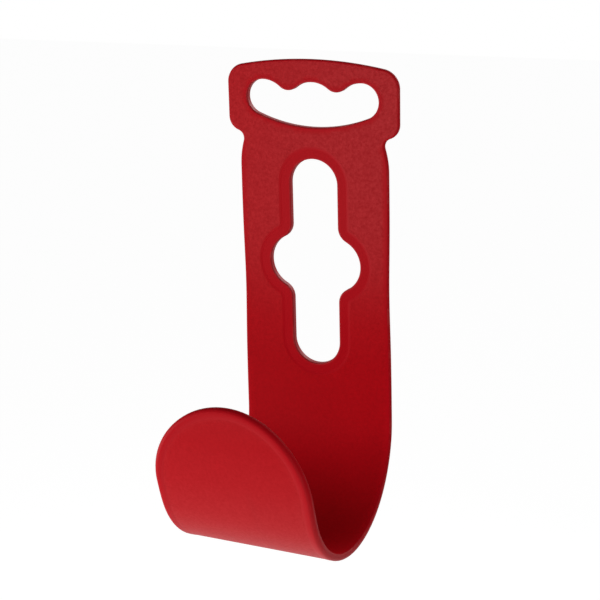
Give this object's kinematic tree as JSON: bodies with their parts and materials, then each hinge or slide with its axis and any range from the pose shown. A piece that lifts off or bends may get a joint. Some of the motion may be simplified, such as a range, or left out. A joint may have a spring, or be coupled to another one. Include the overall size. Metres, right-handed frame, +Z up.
{
  "type": "hose hanger",
  "caption": "Moulded J-shaped hose hanger: a grip head with finger scallops, a flat strap with a cross-shaped keyhole, and a deep hook with a rounded lip.",
  "frame": {"origin": "centre of the keyhole, in the plane of the strap's flat back", "axes": "+Z up towards the grip head; +Y out of the back, towards the wall; the hook opens towards -Y; +X across the strap"},
  "size_m": [0.0866, 0.1007, 0.2207],
  "materials": {
    "red_plastic": "fine matte moulded grain on the broad faces, smoother on the edges and round the keyhole"
  },
  "bodies": {
    "root": {"hose_hanger": "red_plastic"}
  },
  "joints": []
}
